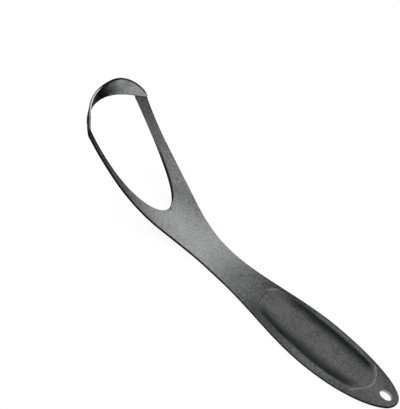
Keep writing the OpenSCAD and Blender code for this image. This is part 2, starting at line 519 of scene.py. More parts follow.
def thicken(piece: bpy.types.Object, offset: Callable[[np.ndarray], np.ndarray]) -> None:
    """Extrude a pressed face into a closed sheet.

    Args:
        piece: A piece that is one open face.
        offset: Gives, for points of the front, the vectors to the back face.
    """
    with editing(piece, "FACE"):
        bpy.ops.mesh.select_all(action="SELECT")
        bpy.ops.mesh.extrude_region()
    back = np.zeros(len(piece.data.vertices), bool)
    piece.data.vertices.foreach_get("select", back)
    points = coordinates(piece.data)
    points[back] += offset(points[back])
    place(piece.data, points)
    with editing(piece, "FACE"):
        bpy.ops.mesh.select_all(action="SELECT")
        bpy.ops.mesh.normals_make_consistent(inside=False)


def round_edges(
    piece: bpy.types.Object, width: float, weigh: Callable[[np.ndarray, np.ndarray], np.ndarray],
) -> None:
    """Round the sharp edges of a closed sheet and smooth its faces.

    Args:
        piece: The piece.
        width: Widest rounding.
        weigh: Gives each edge's share of that width from its two ends.
    """
    mesh = piece.data
    with editing(piece, "EDGE"):
        bpy.ops.mesh.select_all(action="DESELECT")
        bpy.ops.mesh.edges_select_sharp(sharpness=SHARP_ANGLE)
    sharp = np.zeros(len(mesh.edges), bool)
    mesh.edges.foreach_get("select", sharp)
    points = coordinates(mesh)[edge_ends(mesh)]
    weights = np.where(sharp, weigh(points[:, 0], points[:, 1]), 0.0)
    layer = mesh.attributes.new("bevel_weight_edge", "FLOAT", "EDGE")
    layer.data.foreach_set("value", weights.astype(np.float32))
    apply_modifier(
        piece, "BEVEL", limit_method="WEIGHT", width=width, segments=ROUND_SEGMENTS,
        use_clamp_overlap=False,
    )
    with editing(piece):
        bpy.ops.mesh.select_all(action="SELECT")
        bpy.ops.mesh.remove_doubles(threshold=WELD)
    select_only(piece)
    bpy.ops.object.shade_smooth_by_angle(angle=SMOOTH_ANGLE)
    apply_modifier(piece, "WEIGHTED_NORMAL", weight=FACE_WEIGHT, keep_sharp=True)


def paint_zone(piece: bpy.types.Object, zone: Zone, values: np.ndarray) -> None:
    """Store a zone's strength on a piece's vertices.

    Args:
        piece: The piece.
        zone: The zone.
        values: Strength from 0 to 1 for each vertex.
    """
    layer = piece.data.attributes.new(zone.value, "FLOAT", "POINT")
    layer.data.foreach_set("value", np.clip(values, 0, 1).astype(np.float32))


def facing(mesh: bpy.types.Mesh, normals: np.ndarray) -> np.ndarray:
    """Tell how far a mesh's vertices face along given unit normals, from 1 down to -1.

    Args:
        mesh: The mesh.
        normals: A unit normal for each vertex.

    Returns:
        1 along the normal, 0 across it and -1 against it.
    """
    flat = np.empty(len(mesh.vertices) * 3, np.float32)
    mesh.vertices.foreach_get("normal", flat)
    return np.sum(flat.reshape(-1, 3).astype(float) * normals, axis=1)


def slide(piece: bpy.types.Object, distance: float) -> None:
    """Move a piece's mesh along the tool.

    Args:
        piece: The piece.
        distance: How far towards the band.
    """
    points = coordinates(piece.data)
    points[:, 0] += distance
    place(piece.data, points)


class SheetPlaces:
    """Where the sheet's vertices lie, in the measures that its painted light and shade go by.

    Facing is 1 on the front and -1 on the back. Way is 0 at the arms' ends and 1 at the root
    of the opening, and before it. Side is 0 on the thumb rest's middle line and 1 at its long
    sides. The near half, in the photograph, is the one at +Y.
    """

    def __init__(self, form: PressForm, piece: bpy.types.Object, tail_x: float) -> None:
        """Measure a finished sheet that is set in its place.

        Args:
            form: Sizes of the sheet.
            piece: The sheet.
            tail_x: Station of its tail end in the frame.
        """
        points = coordinates(piece.data)
        self.x, self.y = points[:, 0] - tail_x, points[:, 1]
        self.near = self.y > 0
        self.facing = facing(piece.data, form.normal(self.x, self.y))
        self.half_w = form.half_w(self.x)
        self.on_arms = self.x > form.root_x
        self.way = np.clip((form.arm_end_x - self.x) / form.arm_len, 0, 1)
        self.inner_y = form.inner_end_y * np.sqrt(1 - self.way**2)
        self.past_rest = self.x - form.rest_end
        self.side = form.rest_share(self.x, self.y)
        self.from_tail, self.from_head = form.rest_insets(self.x, self.side)
        self.by_hole = np.hypot(self.x - form.hole_inset, self.y) < (form.hole_d + form.sheet_t) / 2


@dataclass(frozen=True)
class SheetPaintedLight:
    """Painted shade and painted highlights of the sheet, laid where they were seen on the tool."""

    # Painted shade on the sheared edges, by facing. It is lighter in the hole, and beside the
    # opening near the ends of the arms.
    edge: Ramp = Ramp(0.97, 0.67)
    edge_bright: Ramp = Ramp(0.6, 0.35)
    hole_bright: float = 0.9
    # Painted shade along the far arm's margin, by distance from the opening and by way.
    margin: Ramp = Ramp(0.884 * MM, 0.364 * MM)
    margin_rise: Ramp = Ramp(0.35, 0.65)
    margin_fall: Ramp = Ramp(0.99, 0.94)
    # Painted shade on the hollow sides of the thumb rest, by side. It lies farther out towards the
    # head.
    hollow_start: float = 0.37
    hollow_run: float = 0.43
    hollow_near: float = 0.86
    hollow_far: float = 0.97
    hollow_fall: Ramp = Ramp(1.0, 0.88)
    hollow_head: Ramp = Ramp(40.0 * MM, 48.0 * MM)
    hollow_head_start: float = 0.08
    hollow_head_fall: float = 0.06
    hollow_tail_end: Ramp = Ramp(0.0, 5.0 * MM)
    hollow_near_end: Ramp = Ramp(0.0, 4.5 * MM)
    hollow_far_end: Ramp = Ramp(0.0, 11.0 * MM)
    # Painted shade on the near rim beside the rest, by station and by share of the half width.
    shade_tone: float = 0.4
    shade_tone_rise: Ramp = Ramp(34.0 * MM, 48.0 * MM)
    shade_tone_fall: Ramp = Ramp(65.0 * MM, 57.0 * MM)
    shade_tone_out: Ramp = Ramp(0.35, 0.7)
    # Painted highlight of neck and arms, as a lighter tone. It fades along the arms, least on the near
    # arm's outer half.
    light_lead: float = 2.0 * MM
    light_run: float = 28.0 * MM
    arm: float = 0.84
    arm_rise: Ramp = Ramp(1.0, 0.5)
    arm_out: Ramp = Ramp(0.3, 0.6)
    arm_loss: float = 0.46
    arm_fade: Ramp = Ramp(0.4, 0.0)
    # Painted highlight on the rim round the rest, by side and by distance from the rest's ends.
    rim: float = 0.36
    rim_rise: Ramp = Ramp(0.98, 1.02)
    rim_loss: float = 0.2
    rim_fade: Ramp = Ramp(1.06, 1.2)
    rim_tail_end: Ramp = Ramp(0.0, 11.0 * MM)
    rim_head_end: Ramp = Ramp(0.0, 22.0 * MM)
    # Painted highlight lines on the lips at the rest's ends, the one at the head on the far side only.
    lip_width: Ramp = Ramp(0.6 * MM, 0.0)
    tail_lip_inset: float = 0.3 * MM
    tail_lip_side: float = 1.1
    head_lip: float = 0.7
    head_lip_inset: float = 0.2 * MM
    head_lip_rise: Ramp = Ramp(0.35, 0.55)
    head_lip_fall: Ramp = Ramp(1.02, 0.92)
    lip_light_tone: float = 0.55
    lip_highlight: float = 0.06
    # Painted highlight on the wall of the hole, by facing.
    hole_wall: float = 0.9
    hole_highlight: float = 0.4
    # Least width that a share is taken of.
    least_width: float = 1.0 * MM

    def zones(self, at: SheetPlaces) -> dict[Zone, np.ndarray]:
        """Work out the strength of every zone.

        Args:
            at: Where the sheet's vertices lie.

        Returns:
            For each zone, a strength for each vertex.
        """
        lips = self.lips(at)
        in_hole = at.by_hole & (at.facing < self.hole_wall)
        # Painted highlight: the lighter tone on neck, arms, rims, lips and the hole's wall.
        light_tone = [self.neck_and_arm_light(at), self.rims(at), self.lip_light_tone * lips, in_hole]
        return {
            Zone.CUT: self.edge_shade(at),
            Zone.RECESS: self.hollow_shade(at),
            Zone.WORN: np.maximum.reduce(light_tone),
            # Brightest painted highlights on the lips and the hole's wall.
            Zone.BARE: np.maximum(self.lip_highlight * lips, self.hole_highlight * in_hole),
        }

    def edge_shade(self, at: SheetPlaces) -> np.ndarray:
        """Painted shade on the sheared edges and on the margin beside the opening.

        Args:
            at: Where the sheet's vertices lie.

        Returns:
            A strength for each vertex.
        """
        by_opening = (np.abs(at.y) < (at.inner_y + at.half_w) / 2) & at.on_arms
        bright = np.maximum(by_opening * self.edge_bright(at.way), self.hole_bright * at.by_hole)
        margin = self.margin(np.abs(at.y) - at.inner_y) * (at.on_arms & ~at.near)
        margin = margin * self.margin_rise(at.way) * self.margin_fall(at.way)
        return np.maximum(self.edge(np.abs(at.facing)) * (1 - bright), margin)

    def hollow_shade(self, at: SheetPlaces) -> np.ndarray:
        """Painted shade on the thumb rest's hollow sides and on its near rim.

        Args:
            at: Where the sheet's vertices lie.

        Returns:
            A strength for each vertex.
        """
        head = self.hollow_head(at.x)
        rise = (at.side - self.hollow_start - self.hollow_head_start * head) / self.hollow_run
        sides = np.clip(rise, 0, np.where(at.near, self.hollow_near, self.hollow_far))
        sides = sides * self.hollow_fall(at.side - self.hollow_head_fall * head)
        ends = np.where(at.near, self.hollow_near_end(at.from_head), self.hollow_far_end(at.from_head))
        sides = sides * self.hollow_tail_end(at.from_tail) * ends
        shade_tone = self.shade_tone * self.shade_tone_rise(at.x) * self.shade_tone_fall(at.x)
        shade_tone = shade_tone * self.shade_tone_out(at.y / np.maximum(at.half_w, self.least_width))
        return np.maximum(sides, shade_tone) * (at.facing > 0)

    def neck_and_arm_light(self, at: SheetPlaces) -> np.ndarray:
        """Painted highlight on the neck and the arms.

        Args:
            at: Where the sheet's vertices lie.

        Returns:
            A strength for each vertex.
        """
        lit_along = np.clip((at.past_rest + self.light_lead) / self.light_run, 0, 1)
        width = np.maximum(at.half_w - at.inner_y, self.least_width)
        arm = self.arm_rise(at.way) * self.arm_out((np.abs(at.y) - at.inner_y) / width) * at.near
        arm = arm * (self.arm - self.arm_loss * self.arm_fade(at.way))
        return lit_along * np.maximum(smooth(at.way), arm)

    def rims(self, at: SheetPlaces) -> np.ndarray:
        """Painted highlight on the rim round the thumb rest."""
        across = self.rim_rise(at.side) * (self.rim - self.rim_loss * self.rim_fade(at.side))
        return across * self.rim_tail_end(at.from_tail) * self.rim_head_end(at.from_head)

    def lips(self, at: SheetPlaces) -> np.ndarray:
        """Strength of the painted highlight lines on the lips at the thumb rest's ends.

        Args:
            at: Where the sheet's vertices lie.

        Returns:
            A strength for each vertex.
        """
        tail = self.lip_width(np.abs(at.from_tail - self.tail_lip_inset))
        tail = tail * (at.side < self.tail_lip_side)
        head = self.lip_width(np.abs(at.from_head - self.head_lip_inset)) * ~at.near
        head = head * self.head_lip_rise(at.side) * self.head_lip_fall(at.side)
        return np.maximum(tail, self.head_lip * head) * (at.facing > 0)


@dataclass
class PressedSheet:
    """Handle, neck and arms: one sheet with a hanging hole and a pressed thumb rest."""

    form: PressForm
    tail_x: float
    tail_rows: int = 20
    lip_rows: int = 7
    rest_rows: int = 48
    neck_rows: int = 44
    arm_rows: int = 80
    inner_columns: int = 18
    rim_columns: int = 5
    column_power: float = 1.7
    tail_power: float = 1.3
    arm_inner_share: float = 0.8
    fan_share: float = 0.5
    straighten_share: float = 0.8
    tip_bend: float = 0.8 * MM
    bend_share: float = 0.4
    hole_margin: float = 0.9 * MM
    hole_block_share: float = 0.62
    hole_cuts: int = 4
    edge_round: float = 0.3 * MM
    seam_reach: float = 0.01 * MM
    seam_slack_share: float = 0.01
    painted_light: SheetPaintedLight = SheetPaintedLight()
    piece: bpy.types.Object | None = field(default=None, init=False)

    def row_places(self) -> np.ndarray:
        """Stations of the plate's rows on its middle line, closer where the form bends.

        Returns:
            Stations from the tail end to the root of the opening.
        """
        form = self.form
        tail = form.rest_start * np.linspace(0, 1, self.tail_rows + 1) ** self.tail_power
        lip_in = np.linspace(0, form.rest_lip, self.lip_rows + 1)[1:]
        inner = np.linspace(
            form.rest_start + form.rest_lip, form.rest_end - form.rest_lip, self.rest_rows + 1,
        )[1:]
        neck = np.linspace(form.rest_end, form.root_x, self.neck_rows + 1)[1:]
        lip_out = form.rest_end - form.rest_lip + lip_in
        return np.concatenate([tail, form.rest_start + lip_in, inner, lip_out, neck])

    def edge_bend(self, x: np.ndarray) -> np.ndarray:
        """How far each plate row's outer end lies ahead of its place on the middle line.

        Args:
            x: Stations of the rows on the middle line.

        Returns:
            Distances along the tool.
        """
        form = self.form
        reach = form.rest_len * self.bend_share
        rest_share = 1 - form.rest_rim / form.half_w(np.array([form.rest_start, form.rest_end]))
        stops = [0, form.rest_start, form.rest_start + reach, form.rest_end - reach,
                 form.rest_end, form.neck_x, form.root_x]
        bends = [self.tip_bend, form.rest_tail_sag / rest_share[0] ** 2, 0, 0,
                 -form.rest_head_sag / rest_share[1] ** 2, 0, -form.arm_skew]
        return np.interp(x, stops, bends)

    def plan(self, i: np.ndarray, j: np.ndarray) -> np.ndarray:
        """Place the blank's vertices in plan, before pressing.

        Args:
            i: Row of each vertex, from the tail to the ends of the arms.
            j: Column of each vertex, from the middle line or the opening to the edge.

        Returns:
            Stations from the tail end and places across, one row a vertex.
        """
        form = self.form
        rows = self.row_places()
        on_arm = i >= len(rows)
        angle = np.pi / 2 * np.clip(i - len(rows) + 1, 0, None) / self.arm_rows
        inner_x = np.where(on_arm, form.arm_end_x - form.arm_len * np.cos(angle),
                           rows[np.minimum(i, len(rows) - 1)])
        inner_y = np.where(on_arm, form.inner_end_y * np.sin(angle), 0.0)
        turn = angle / (np.pi / 2)
        fan = self.fan_share * turn + (1 - self.fan_share) * turn**2
        outer_x = np.where(on_arm, form.root_x - form.arm_skew + form.arm_len * fan,
                           inner_x + self.edge_bend(inner_x))
        outer_y = form.half_w(outer_x)
        tail_share = 1 - form.rest_rim / form.half_w(np.array(form.rest_start))
        plate_share = 1 - form.rest_rim / np.maximum(outer_y, form.rest_rim)
        plate_share = np.where(inner_x < form.rest_start, tail_share, plate_share)
        rim_share = np.where(on_arm, self.arm_inner_share, plate_share)
        inside = 1 - (1 - np.minimum(j / self.inner_columns, 1)) ** self.column_power
        beyond = np.clip((j - self.inner_columns) / self.rim_columns, 0, 1)
        share = inside * rim_share + beyond * (1 - rim_share)
        along = share ** (2 - smooth(turn / self.straighten_share))
        x = inner_x + (outer_x - inner_x) * along
        y = inner_y + (outer_y - inner_y) * share
        return np.stack([x, y], axis=-1)

    def cut_blank(self) -> None:
        """Lay out the flat blank as a grid and complete it across the middle plane."""
        rows = len(self.row_places()) + self.arm_rows
        columns = self.inner_columns + self.rim_columns + 1
        self.piece, i, j = grid_piece("pressed_sheet", rows, columns)
        points = np.zeros((len(i), 3))
        points[:, :2] = self.plan(i, j)
        place(self.piece.data, points)
        mirror_half(self.piece)

    def punch_hole(self) -> None:
        """Take a block of faces out of the tail and bridge its border to a round hole."""
        form, mesh = self.form, self.piece.data
        centres = np.array([polygon.center for polygon in mesh.polygons])
        reach = form.hole_d / 2 + self.hole_margin
        half = self.hole_block_share * form.half_w(centres[:, 0])
        block = (np.abs(centres[:, 0] - form.hole_inset - self.hole_shift(centres[:, 1])) < reach)
        block &= np.abs(centres[:, 1]) < half
        pick(mesh, "polygons", block)
        with editing(self.piece, "FACE"):
            bpy.ops.mesh.region_to_loop()
        border = np.zeros(len(mesh.vertices), bool)
        mesh.vertices.foreach_get("select", border)
        mark = mesh.attributes.new("border", "INT", "POINT")
        mark.data.foreach_set("value", border.astype(np.int32))
        pick(mesh, "polygons", block)
        with editing(self.piece, "FACE"):
            bpy.ops.mesh.delete(type="FACE")
            bpy.ops.mesh.primitive_circle_add(
                vertices=int(border.sum()), radius=form.hole_d / 2,
                location=(form.hole_inset, 0, form.hole_d),
            )
        ring = np.zeros(len(mesh.vertices), np.int32)
        mesh.attributes["border"].data.foreach_get("value", ring)
        points = coordinates(mesh)
        gap = np.hypot(points[:, 0] - form.hole_inset, points[:, 1]) - form.hole_d / 2
        on_ring = (ring > 0) | (np.abs(gap) < form.slope_step)
        mesh.attributes.remove(mesh.attributes["border"])
        open_edges = self.open_edges() & on_ring[edge_ends(mesh)].all(axis=1)
        pick(mesh, "edges", open_edges)
        with editing(self.piece, "EDGE"):
            bpy.ops.mesh.bridge_edge_loops(number_cuts=self.hole_cuts, interpolation="LINEAR")

    def open_edges(self) -> np.ndarray:
        """Tell for each edge whether fewer than two faces use it.

        Returns:
            True for each open edge.
        """
        mesh = self.piece.data
        used = np.zeros(len(mesh.loops), int)
        mesh.loops.foreach_get("edge_index", used)
        return np.bincount(used, minlength=len(mesh.edges)) < 2

    def hole_shift(self, y: np.ndarray) -> np.ndarray:
        """How far the tail's rows bend forward at places y, as a parabola."""
        form = self.form
        return self.tip_bend * (y / (form.handle_w / 2)) ** 2

    def press(self) -> None:
        """Press the blank to the form, give it its thickness and set it in its place."""
        form = self.form
        flat = coordinates(self.piece.data)
        flat[:, 2] = form.front_z(flat[:, 0], flat[:, 1])
        place(self.piece.data, flat)
        thicken(self.piece, self.back_offset)
        slide(self.piece, self.tail_x)

    def back_offset(self, points: np.ndarray) -> np.ndarray:
        """Vectors from front points to the back face, mitred at the ends of the arms.

        Args:
            points: Points of the front face, one row each.

        Returns:
            Vectors, one row a point.
        """
        form = self.form
        x, y = points[:, 0], points[:, 1]
        normal = form.normal(x, y)
        normal = np.where(
            self.on_seam(x, y)[:, None], mitre(normal, form.band_normal(x, y)), normal,
        )
        return -form.sheet_t * normal

    def on_seam(self, x: np.ndarray, y: np.ndarray) -> np.ndarray:
        """Tell whether points in plan lie on the line where the arms meet the band.

        Args:
            x: Stations from the tail end.
            y: Places across the tool.

        Returns:
            True for each point on the line.
        """
        form = self.form
        out = (np.abs(y) - form.inner_end_y) / (form.head_w / 2 - form.inner_end_y)
        gap = np.abs(x - form.arm_end_x + form.arm_skew * out)
        return (gap < self.seam_reach) & (out > -self.seam_slack_share)

    def weigh(self, first: np.ndarray, second: np.ndarray) -> np.ndarray:
        """Give each edge its rounding: the seam, the hole, and every free edge.

        Args:
            first: One end of each edge.
            second: The other end of each edge.

        Returns:
            Shares of the widest rounding.
        """
        form = self.form
        middle = (first + second) / 2
        x, y = middle[:, 0] - self.tail_x, middle[:, 1]
        at_hole = np.hypot(x - form.hole_inset, y) < form.hole_d / 2 + form.sheet_t / 2
        seam_x = form.arm_end_x - form.arm_skew
        ahead = x > seam_x - form.sheet_t
        crosswise = np.abs(second[:, 1] - first[:, 1]) > np.abs(second[:, 0] - first[:, 0])
        upright = np.abs(second[:, 2] - first[:, 2]) > form.sheet_t / 2
        weights = np.where(at_hole, EdgeWeight.HOLE.value, EdgeWeight.FREE.value)
        weights = np.where(ahead & crosswise, EdgeWeight.SEAM.value, weights)
        return np.where(ahead & upright, 0.0, weights)

    def paint(self) -> None:
        """Store the sheet's painted light and shade for the finish."""
        places = SheetPlaces(self.form, self.piece, self.tail_x)
        for zone, strength in self.painted_light.zones(places).items():
            paint_zone(self.piece, zone, strength)

    def build(self) -> bpy.types.Object:
        """Make the piece from blank to rounded edges.

        Returns:
            The finished piece.
        """
        self.cut_blank()
        self.punch_hole()
        self.press()
        round_edges(self.piece, self.edge_round, self.weigh)
        self.paint()
        return self.piece


class BandPlaces:
    """Where the band's vertices lie, in the measures that its painted light and shade go by.

    Facing is 1 on the inner face and -1 on the outer one. Across is 0 at the tip, 1 at the near
    arm's inner side and -1 at the far arm's. Height is 0 at the foot and 1 at the rim, and
    depth is the distance below the rim.
    """

    def __init__(self, form: PressForm, piece: bpy.types.Object, tail_x: float) -> None:
        """Measure a finished band that is set in its place.

        Args:
            form: Sizes of the band.
            piece: The band.
            tail_x: Station of the tool's tail end in the frame.
        """
        points = coordinates(piece.data)
        x, y = points[:, 0] - tail_x, points[:, 1]
        rim = form.rim_h(y)
        self.facing = facing(piece.data, form.band_normal(x, y))
        self.across = y / form.inner_end_y
        self.height = (points[:, 2] - form.end_z()) / rim
        self.depth = (1 - self.height) * rim


@dataclass(frozen=True)
class BandPaintedLight:
    """Painted shade and painted highlights of the band, laid where they were seen on the tool."""

    # Painted shade on the outer face, by facing: where it rounds into the rim, and towards the arms.
    back_turn: Ramp = Ramp(-0.95, -0.85)
    rim_turn: Ramp = Ramp(0.0, -0.1)
    back: Ramp = Ramp(-0.8, -0.95)
    back_rise: Ramp = Ramp(0.3, 0.8)
    # Painted shade on the rim, on the far side and at both ends.
    rim: float = 0.9
    rim_far: Ramp = Ramp(0.3, -0.1)
    rim_inner: Ramp = Ramp(0.6, 0.3)
    rim_facing: float = 0.6
    rim_near_end: Ramp = Ramp(1.14, 1.22)
    rim_far_end: Ramp = Ramp(1.1, 1.18)
    # Painted shade in a line on the inner face below the rim, thinner towards the far arm.
    line: float = 0.9
    line_depth: float = 0.48 * MM
    line_loss: float = 0.13 * MM
    line_loss_far: Ramp = Ramp(0.0, -0.6)
    line_fade: float = 0.25 * MM
    line_far_end: Ramp = Ramp(-1.25, -1.15)
    line_near_end: Ramp = Ramp(0.4, 0.1)
    # Painted shade on the inner face, heavier on the near side. It thins towards the rim elsewhere.
    shade_tone: float = 0.95
    shade_tone_rise: Ramp = Ramp(-0.7, -0.05)
    shade_tone_fall: Ramp = Ramp(1.1, 0.8)
    shade_tone_loss: float = 0.85
    shade_tone_loss_far: Ramp = Ramp(0.3, -0.1)
    inner_facing: float = 0.8
    # Painted highlight on the near rim and just behind it, and a painted sheen on the inner face
    # on the far side of the tip.
    rim_highlight: float = 0.65
    rim_highlight_rise: Ramp = Ramp(0.1, 0.3)
    rim_highlight_turn: Ramp = Ramp(0.5, 0.3)
    sheen: float = 0.5
    sheen_up: Ramp = Ramp(0.3, 0.9)
    sheen_rise: Ramp = Ramp(0.0, -0.2)
    sheen_fall: Ramp = Ramp(-0.8, -0.5)

    def zones(self, at: BandPlaces) -> dict[Zone, np.ndarray]:
        """Work out the strength of every zone; the whole band gets the painted lighter tone.

        Args:
            at: Where the band's vertices lie.

        Returns:
            For each zone, a strength for each vertex.
        """
        inner = at.facing > self.inner_facing
        # Painted shade on the inner face, heaviest on the near side.
        shade_tone = self.shade_tone_rise(at.across) * self.shade_tone_fall(at.across)
        loss = self.shade_tone_loss * at.height * self.shade_tone_loss_far(at.across)
        # Painted highlight on the near rim, and a painted sheen beside the tip.
        rim_highlight = self.rim_highlight * self.rim_highlight_rise(at.across) * self.rim_highlight_turn(at.facing)
        sheen = self.sheen * self.sheen_up(at.height) * inner
        sheen = sheen * self.sheen_rise(at.across) * self.sheen_fall(at.across)
        return {
            Zone.CUT: self.edge_shade(at),
            Zone.RECESS: shade_tone * (self.shade_tone - loss) * inner,
            Zone.WORN: np.ones(len(at.across)),
            Zone.BARE: np.maximum(rim_highlight, sheen),
        }

    def edge_shade(self, at: BandPlaces) -> np.ndarray:
        """Painted shade on the outer face, the rim and the line below it.

        Args:
            at: Where the band's vertices lie.

        Returns:
            A strength for each vertex.
        """
        out = np.abs(at.across)
        turned = self.back_turn(at.facing) * self.rim_turn(at.facing)
        outside = self.back(at.facing) * self.back_rise(out)
        ends = np.where(at.across > 0, self.rim_near_end(out), self.rim_far_end(out))
        rim = np.maximum(self.rim * self.rim_far(at.across) * self.rim_inner(at.facing), ends)
        rim = rim * (np.abs(at.facing) < self.rim_facing)
        reach = self.line_depth - self.line_loss * self.line_loss_far(at.across)
        line = self.line * smooth((reach - at.depth) / self.line_fade) * (at.facing > 0)
        line = line * self.line_far_end(at.across) * self.line_near_end(at.across)
        return np.maximum.reduce([turned, outside, rim, line])


@dataclass
class ScrapingBand:
    """Band along the tip of the loop: the sheet turned up, highest at the tip."""

    form: PressForm
    tail_x: float
    seam_stations: int = 12
    arc_stations: int = 48
    levels: int = 12
    level_power: float = 1.5
    edge_round: float = 0.15 * MM
    painted_light: BandPaintedLight = BandPaintedLight()
    piece: bpy.types.Object | None = field(default=None, init=False)

    def foot(self) -> np.ndarray:
        """Points of the band's foot in plan, from an arm's outer corner to the tip.

        Returns:
            Stations and places across, one row a point.
        """
        form = self.form
        share = np.linspace(1, 0, self.seam_stations + 1)[:-1]
        y = form.inner_end_y + (form.head_w / 2 - form.inner_end_y) * share
        seam = np.stack([form.arm_end_x - form.arm_skew * share, y], axis=-1)
        turn = np.linspace(form.foot_end_turn, 0, self.arc_stations + 1)
        arc = form.foot_r * np.stack([np.cos(turn), np.sin(turn)], axis=-1)
        arc[:, 0] += form.foot_centre_x
        return np.concatenate([seam, arc])

    def raise_wall(self) -> None:
        """Shape a grid into the band's inner face and complete it across the middle plane."""
        form, foot = self.form, self.foot()
        self.piece, i, j = grid_piece("scraping_band", len(foot), self.levels + 1)
        x, y = foot[i].T
        on_arc = i >= self.seam_stations
        low = np.stack([x, y, np.where(on_arc, form.end_z(), form.front_z(x, y))], axis=-1)
        turn, slope = form.band_turn(x, y), form.band_slope(y)
        lean = 1 / np.tan(slope)
        rise = np.stack([np.cos(turn) * lean, np.sin(turn) * lean, np.ones_like(x)], axis=-1)
        height = form.rim_h(y) * (1 - (1 - j / self.levels) ** self.level_power)
        place(self.piece.data, low + height[:, None] * rise)
        offsets = self.back_offset(x, y, on_arc | (j > 0))
        layer = self.piece.data.attributes.new("offset", "FLOAT_VECTOR", "POINT")
        layer.data.foreach_set("vector", offsets.astype(np.float32).ravel())

    def back_offset(self, x: np.ndarray, y: np.ndarray, plain: np.ndarray) -> np.ndarray:
        """Vectors to the band's outer face, mitred where its foot lies on the arms.

        Args:
            x: Stations from the tail end.
            y: Places across the tool.
            plain: True where the band isn't mitred.

        Returns:
            Vectors, one row a point.
        """
        form = self.form
        normal = form.band_normal(x, y)
        seam = mitre(form.normal(x, y), normal)
        return -form.sheet_t * np.where(plain[:, None], normal, seam)

    def thicken(self) -> None:
        """Complete both halves, extrude them outwards by the stored offsets and set them in place."""
        mesh = self.piece.data
        mirror_half(self.piece)
        stored = np.empty(len(mesh.vertices) * 3, np.float32)
        mesh.attributes["offset"].data.foreach_get("vector", stored)
        stored = stored.reshape(-1, 3).astype(float)
        points = coordinates(mesh)
        stored[:, 1] = np.where(points[:, 1] < 0, -stored[:, 1], stored[:, 1])
        offsets = {self.key(point): offset for point, offset in zip(points, stored)}
        thicken(self.piece, lambda front: np.array([offsets[self.key(point)] for point in front]))
        mesh.attributes.remove(mesh.attributes["offset"])
        slide(self.piece, self.tail_x)

    def key(self, point: np.ndarray) -> tuple[float, ...]:
        """Round a point so that it can be looked up."""
        return tuple(np.round(point, KEY_DIGITS))

    def weigh(self, first: np.ndarray, second: np.ndarray) -> np.ndarray:
        """Give each edge its rounding: the seam on the arms, and every free edge.

        Args:
            first: One end of each edge.
            second: The other end of each edge.

        Returns:
            Shares of the widest rounding.
        """
        form = self.form
        middle = (first + second) / 2
        x, y = middle[:, 0] - self.tail_x, np.abs(middle[:, 1])
        low = middle[:, 2] < form.front_z(x, y) + form.band_end_h / 2
        on_arm = y > form.inner_end_y - form.sheet_t / 4
        run = np.abs(second[:, 0] - first[:, 0]) + np.abs(second[:, 1] - first[:, 1])
        weights = np.full(len(x), EdgeWeight.FREE.value)
        weights = np.where(on_arm & low, EdgeWeight.SEAM.value, weights)
        return np.where(on_arm & (run < ROUNDING_ERROR), 0.0, weights)

    def paint(self) -> None:
        """Store the band's painted light and shade for the finish."""
        places = BandPlaces(self.form, self.piece, self.tail_x)
        for zone, strength in self.painted_light.zones(places).items():
            paint_zone(self.piece, zone, strength)

    def build(self) -> bpy.types.Object:
        """Make the piece from flat grid to rounded edges.

        Returns:
            The finished piece.
        """
        self.raise_wall()
        self.thicken()
        round_edges(self.piece, self.edge_round, self.weigh)
        self.paint()
        return self.piece


def linear(hex_colour: str) -> tuple[float, float, float, float]:
    """Turn an sRGB hex colour into linear red, green, blue and alpha.

    Args:
        hex_colour: A colour such as "#808080".

    Returns:
        Linear values, with alpha 1.
    """
    parts = [int(hex_colour[k:k + 2], 16) / 255 for k in (1, 3, 5)]
    parts = [p / 12.92 if p <= 0.04045 else ((p + 0.055) / 1.055) ** 2.4 for p in parts]
    return (parts[0], parts[1], parts[2], 1.0)


def add_node(
    tree: bpy.types.NodeTree, kind: str, links: dict[str, object] | None = None, **settings: object,
) -> bpy.types.Node:
    """Add a node with its settings, input values and links.

    Args:
        tree: The node tree.
        kind: Type of the node, such as ShaderNodeMath.
        links: For each input's name or index, a value or another node's output socket.
        settings: Values of the node's properties.

    Returns:
        The new node.
    """
    node = tree.nodes.new(kind)
    for key, value in settings.items():
        setattr(node, key, value)
    for key, value in (links or {}).items():
        if isinstance(value, bpy.types.NodeSocket):
            tree.links.new(value, node.inputs[key])
        else:
            node.inputs[key].default_value = value
    return node


